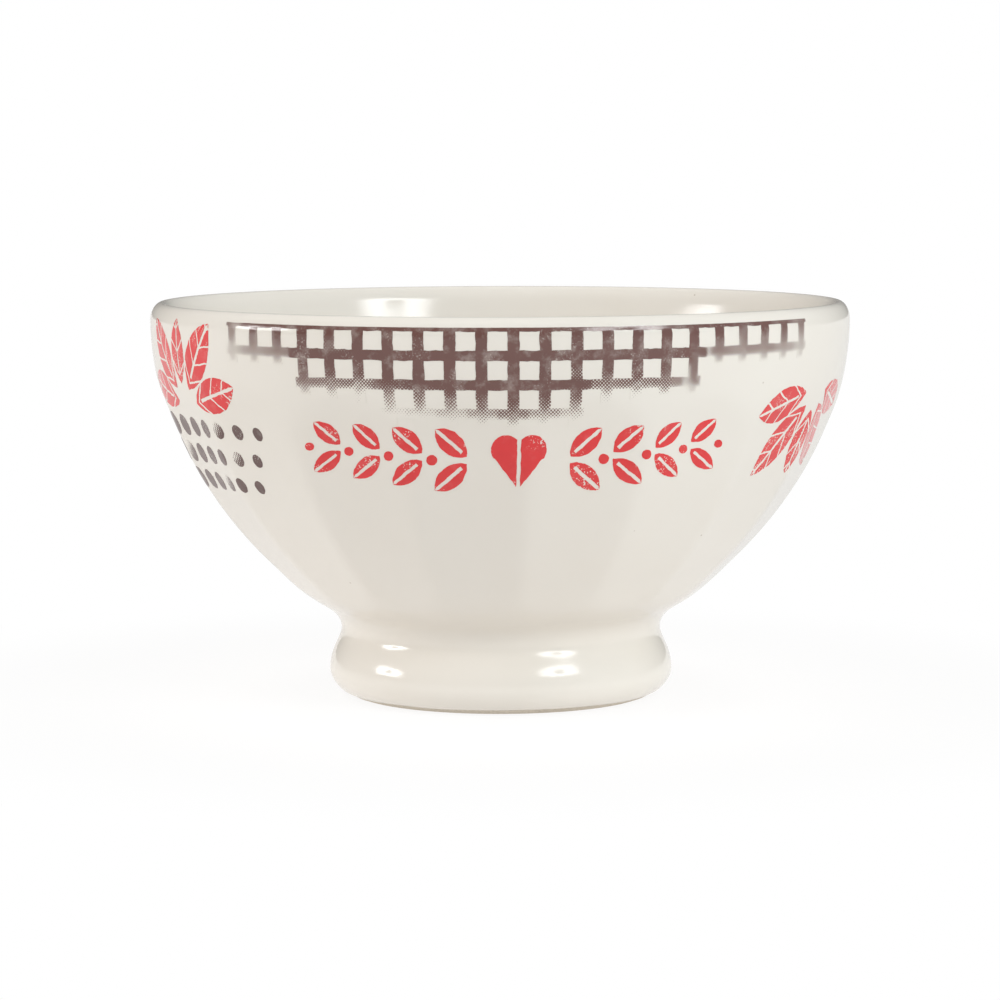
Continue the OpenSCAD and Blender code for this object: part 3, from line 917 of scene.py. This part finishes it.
def inkMaterial(name, color, group, cloudy, specked, veined=False):
    material, tree, shader = newMaterial(name)
    coat = glazedShader(tree, shader, group)
    place = addNode(tree, "ShaderNodeTexCoord").outputs["Object"]
    flat = addNode(tree, "ShaderNodeAttribute", attribute_name="printPlace").outputs["Vector"]
    parts = addNode(tree, "ShaderNodeSeparateXYZ", {0: flat})
    across, up, ink = (parts.outputs[k] for k in range(3))
    rate = math.tau / inkLook["halftone"] * math.sqrt(0.5)
    first = calc(tree, "COSINE", calc(tree, "MULTIPLY", calc(tree, "ADD", across, up), rate))
    second = calc(tree, "COSINE", calc(tree, "MULTIPLY", calc(tree, "SUBTRACT", across, up), rate))
    screen = calc(tree, "MULTIPLY_ADD", calc(tree, "ADD", first, second), 0.25, 0.5)
    level = lessened(tree, ink, patches(tree, place, inkLook["thin"]), cloudy)
    if veined:
        level = veinedLevel(tree, place, level)
    cover = calc(tree, "SUBTRACT", level, screen)
    cover = calc(tree, "MULTIPLY_ADD", cover, inkLook["crisp"], 0.5, clamped=True)
    # tiny spots where the ink is missing
    holes = patches(tree, place, inkLook["holes"])
    holes = calc(tree, "MULTIPLY", holes, patches(tree, place, inkLook["spotty"]))
    cover = calc(tree, "MULTIPLY", cover, lessened(tree, 1, holes, specked))
    pale = patches(tree, place, inkLook["pale"])
    cover = calc(tree, "MULTIPLY", cover, lessened(tree, 1, pale, inkLook["paleness"] * cloudy))
    deep = tuple(finish["inkDeep"] * c for c in color)
    tone = blendColor(tree, cloud(tree, place, inkLook["toneScale"], 3), color, deep)
    whole = blendColor(tree, cover, coat.outputs["Tone"], tone)
    tree.links.new(whole, shader.inputs["Base Color"])
    return material


# The bare clay, grainy and a little stained
clayLook = {
    "grain": 1900, "grainLevels": (0.35, 0.7), "stains": (85, 3, 0.5, 0.5, 0.75), "stained": 0.35,
    "rough": 0.62, "roughGrain": 0.25, "depth": 0.00012, "bumpy": 0.6,
}


def clayMaterial():
    b = clayLook
    material, tree, shader = newMaterial("biscuitClay")
    place = addNode(tree, "ShaderNodeTexCoord").outputs["Object"]
    grain = cloud(tree, place, b["grain"], 5, 0.7)
    deep = tuple(finish["clayDeep"] * c for c in finish["clay"])
    tone = blendColor(tree, between(tree, grain, *b["grainLevels"]), finish["clay"], deep)
    stained = calc(tree, "MULTIPLY", patches(tree, place, b["stains"]), b["stained"])
    tone = blendColor(tree, stained, tone, finish["stain"])
    tree.links.new(tone, shader.inputs["Base Color"])
    tree.links.new(calc(tree, "MULTIPLY_ADD", grain, b["roughGrain"], b["rough"]), shader.inputs["Roughness"])
    bump = addNode(tree, "ShaderNodeBump", {"Height": grain, "Distance": b["depth"], "Strength": b["bumpy"]})
    tree.links.new(bump.outputs["Normal"], shader.inputs["Normal"])
    return material


def dress(piece, material):
    piece.data.materials.clear()
    piece.data.materials.append(material)


# The camera stands where the photograph was taken
shot = {
    "distance": 732.495, "height": 112.985, "aside": -0.098, "pitch": 5.763, "roll": -0.135,
    "lens": 131.22, "sensor": 36,
}
bpy.ops.object.camera_add(location=(shot["aside"] * mm, -shot["distance"] * mm, shot["height"] * mm))
camera = bpy.context.active_object
tilt = Matrix.Rotation(math.radians(90 - shot["pitch"]), 3, "X")
look = tilt @ Matrix.Rotation(math.radians(shot["roll"]), 3, "Z")
camera.rotation_euler = look.to_euler()
camera.data.lens = shot["lens"]
camera.data.sensor_width = shot["sensor"]
camera.data.clip_start = 0.01
bpy.context.scene.camera = camera
print("camera set")

coat = makeGlazeCoat()
print("glaze coat made")
wall, ring = makeClay()
wellGlaze = makeWellGlaze()
print("clay and foot made")
frontCheck = makeCheck("frontCheck", check["turn"], "front_check_print")
backCheck = makeCheck("backCheck", check["turn"] + 180, "back_check_print")
print("check printed")
frontGarland = makeGarland("frontGarland", garland["turn"], "front_garland_print")
backGarland = makeGarland("backGarland", garland["turn"] + 180, "back_garland_print")
print("garland printed")
upSpot, downSpot = (spray["upTurn"], spray["upHeight"], 1), (spray["downTurn"], spray["downHeight"], -1)
leftSprays = makeSprays("leftSprays", [upSpot, (downSpot[0] - 180, *downSpot[1:])], "left_leaf_print")
rightSprays = makeSprays("rightSprays", [downSpot, (upSpot[0] + 180, *upSpot[1:])], "right_leaf_print")
leftDots = makeDots("leftDots", dots["turn"], "left_dot_print")
rightDots = makeDots("rightDots", dots["turn"] + 180, "right_dot_print")
print("sprays and dots printed")

creamGlaze = glazeGroup()
creamCoat = creamMaterial(creamGlaze)
brownInk = inkMaterial("brownInk", finish["brown"], creamGlaze, cloudy=0.55, specked=0.25)
greyInk = inkMaterial("greyInk", finish["grey"], creamGlaze, cloudy=0.3, specked=0.35)
redInk = inkMaterial("redInk", finish["red"], creamGlaze, cloudy=0.1, specked=0.95)
leafInk = inkMaterial("leafInk", finish["red"], creamGlaze, cloudy=0.2, specked=0.7, veined=True)
clay = clayMaterial()
for piece, material in (
    (coat, creamCoat), (wellGlaze, creamCoat), (wall, clay), (ring, clay),
    (frontCheck, brownInk), (backCheck, brownInk), (frontGarland, redInk), (backGarland, redInk),
    (leftSprays, leafInk), (rightSprays, leafInk), (leftDots, greyInk), (rightDots, greyInk),
):
    dress(piece, material)
print("finishes done")


# A pale table, a white surround, a broad soft lamp to each side and a smaller bright one beside it
studio = {
    "leftSoft": {
        "turn": -70, "up": 24, "far": 1.5, "size": (0.9, 0.7), "power": 5.6, "color": (1, 0.99, 0.98),
    },
    "rightSoft": {
        "turn": 54, "up": 24, "far": 1.5, "size": (0.9, 0.7), "power": 6.5, "color": (0.94, 0.98, 1),
    },
    "leftShine": {
        "turn": -82, "up": 13.5, "far": 1.45, "size": (0.68, 0.38), "power": 6.8, "color": (1, 1, 1),
    },
    "rightShine": {
        "turn": 42, "up": 26.5, "far": 1.45, "size": (0.80, 0.46), "power": 7.4, "color": (0.97, 0.99, 1),
    },
    "aim": 0.04,      # the height that all lamps face
    "room": 0.42, "warm": (1, 0.99, 0.97), "cool": (0.80, 0.93, 1),
}
# A bright lamp's face, in shares of its size: brightest in the middle, round a small dark cap
shine = {"corner": 3.0, "fades": (0.28, 0.5), "bright": 1.5, "fall": 1.4, "cap": (0.08, 0.13), "capTall": 0.6}
# Where the room is darker or brighter: turn, height, the nearness where that begins and is full, the change
roomParts = {
    "behindCamera": (-24, 0, 0.5, 0.92, -0.26), "behindBowl": (180, 0, 0.35, 0.9, -0.24),
    "overhead": (0, 90, 0.1, 0.9, 0.40), "window": (62, 5, 0.55, 0.95, 0.16),
}


def directionOf(turn, up):
    turn, up = math.radians(turn), math.radians(up)
    return Vector((math.sin(turn) * math.cos(up), -math.cos(turn) * math.cos(up), math.sin(up)))


def addLamp(name):
    s = studio[name]
    way = directionOf(s["turn"], s["up"])
    bpy.ops.object.light_add(type="AREA", location=way * s["far"] + Vector((0, 0, studio["aim"])))
    lamp = bpy.context.active_object
    lamp.name = name + "Lamp"
    lamp.rotation_euler = way.to_track_quat("Z", "Y").to_euler()
    lamp.data.shape = "ELLIPSE"
    lamp.data.size, lamp.data.size_y = s["size"]
    lamp.data.energy = s["power"]
    lamp.data.color = s["color"]
    return lamp


for name in ("leftSoft", "rightSoft"):
    addLamp(name).visible_glossy = False
for name in ("leftShine", "rightShine"):
    lamp = addLamp(name)
    lamp.data.shape = "RECTANGLE"
    lamp.data.use_nodes = True
    tree = lamp.data.node_tree
    emission = next(n for n in tree.nodes if n.type == "EMISSION")
    spot = addNode(tree, "ShaderNodeNewGeometry").outputs["Parametric"]
    middle = addNode(tree, "ShaderNodeVectorMath", {0: spot, 1: (0.5, 0.5, 0)}, operation="SUBTRACT")
    parts = addNode(tree, "ShaderNodeSeparateXYZ", {0: middle.outputs[0]})
    across, up = (calc(tree, "ABSOLUTE", parts.outputs[k]) for k in (0, 1))
    away = calc(tree, "ADD", *(calc(tree, "POWER", value, shine["corner"]) for value in (across, up)))
    away = calc(tree, "POWER", away, 1 / shine["corner"])
    glow = lessened(tree, shine["bright"], between(tree, away, *shine["fades"]), shine["fall"])
    beyond = calc(tree, "MAXIMUM", across, calc(tree, "MULTIPLY", up, shine["capTall"]))
    cap = between(tree, beyond, *shine["cap"])
    tree.links.new(calc(tree, "MULTIPLY", glow, cap), emission.inputs["Strength"])

world = bpy.data.worlds.new("studioWhite")
bpy.context.scene.world = world
world.use_nodes = True
tree = world.node_tree
tree.nodes.clear()
path = addNode(tree, "ShaderNodeLightPath")
way = addNode(tree, "ShaderNodeTexCoord").outputs["Generated"]


def toward(turn, up, low, high):
    # how nearly a direction of the room is the one asked for
    node = addNode(tree, "ShaderNodeVectorMath", {0: way, 1: directionOf(turn, up)}, operation="DOT_PRODUCT")
    return between(tree, node.outputs["Value"], low, high)


shares = {name: toward(*part[:4]) for name, part in roomParts.items()}
room = studio["room"]
for name, part in roomParts.items():
    room = calc(tree, "MULTIPLY_ADD", shares[name], part[4], room)
strength = calc(tree, "MAXIMUM", path.outputs["Is Camera Ray"], room)
tint = blendColor(tree, shares["window"], studio["warm"], studio["cool"])
tint = blendColor(tree, path.outputs["Is Camera Ray"], tint, (1, 1, 1))
background = addNode(tree, "ShaderNodeBackground", {"Color": tint, "Strength": strength})
addNode(tree, "ShaderNodeOutputWorld", {"Surface": background.outputs[0]})

# The table is a pale sheet whose own glow is painted light: its emission lights the bowl from below, most in
# a wide ring round the foot
sheet = {
    "size": 40, "color": (0.42, 0.42, 0.417), "rough": 0.6,
    "under": 0.00005,       # how far it lies under the foot, so that the two never share a face
    "glowColor": (1, 0.975, 0.955), "glow": 0.56, "ring": 0.06, "ringRises": (0.033, 0.06),
    "fall": 0.245, "falls": (0.05, 0.132),
    "mirrored": 0.35,       # how much of its white a reflection sees
    "white": 0.72, "whitens": (0.035, 0.15),      # how white it looks beside the foot, and where that rises
}
bpy.ops.object.select_all(action="DESELECT")
bpy.ops.mesh.primitive_grid_add(
    x_subdivisions=2, y_subdivisions=2, size=sheet["size"], location=(0, 0, -sheet["under"])
)
floor = bpy.context.active_object
floor.name = "paleTable"
table, tree, shader = newMaterial("paleTable")
shader.inputs["Base Color"].default_value = (*sheet["color"], 1)
shader.inputs["Roughness"].default_value = sheet["rough"]
shader.inputs["Emission Color"].default_value = (*sheet["glowColor"], 1)
path = addNode(tree, "ShaderNodeLightPath")
mirrored = calc(tree, "MULTIPLY", path.outputs["Is Glossy Ray"], sheet["mirrored"])
seen = calc(tree, "MAXIMUM", path.outputs["Is Camera Ray"], path.outputs["Is Transmission Ray"])
seen = calc(tree, "MAXIMUM", seen, mirrored)
place = addNode(tree, "ShaderNodeTexCoord").outputs["Object"]
away = addNode(tree, "ShaderNodeVectorMath", {0: place}, operation="LENGTH").outputs["Value"]
# painted light: the sheet's own emission lights the bowl from below, a little more in a ring round the foot
# and less further out
glow = calc(tree, "MULTIPLY_ADD", between(tree, away, *sheet["ringRises"]), sheet["ring"], sheet["glow"])
glow = lessened(tree, glow, between(tree, away, *sheet["falls"]), sheet["fall"])
tree.links.new(glow, shader.inputs["Emission Strength"])
white = addNode(tree, "ShaderNodeEmission", {"Color": (1, 1, 1, 1), "Strength": 1.0})
whiteness = between(tree, away, *sheet["whitens"])
whiteness = calc(tree, "MULTIPLY_ADD", whiteness, 1 - sheet["white"], sheet["white"])
share = calc(tree, "MULTIPLY", seen, whiteness)
mixed = addNode(tree, "ShaderNodeMixShader", {0: share, 1: shader.outputs[0], 2: white.outputs[0]})
output = next(n for n in tree.nodes if n.type == "OUTPUT_MATERIAL")
tree.links.new(mixed.outputs[0], output.inputs["Surface"])
dress(floor, table)
bpy.context.scene.view_settings.view_transform = "Standard"
print("studio set")
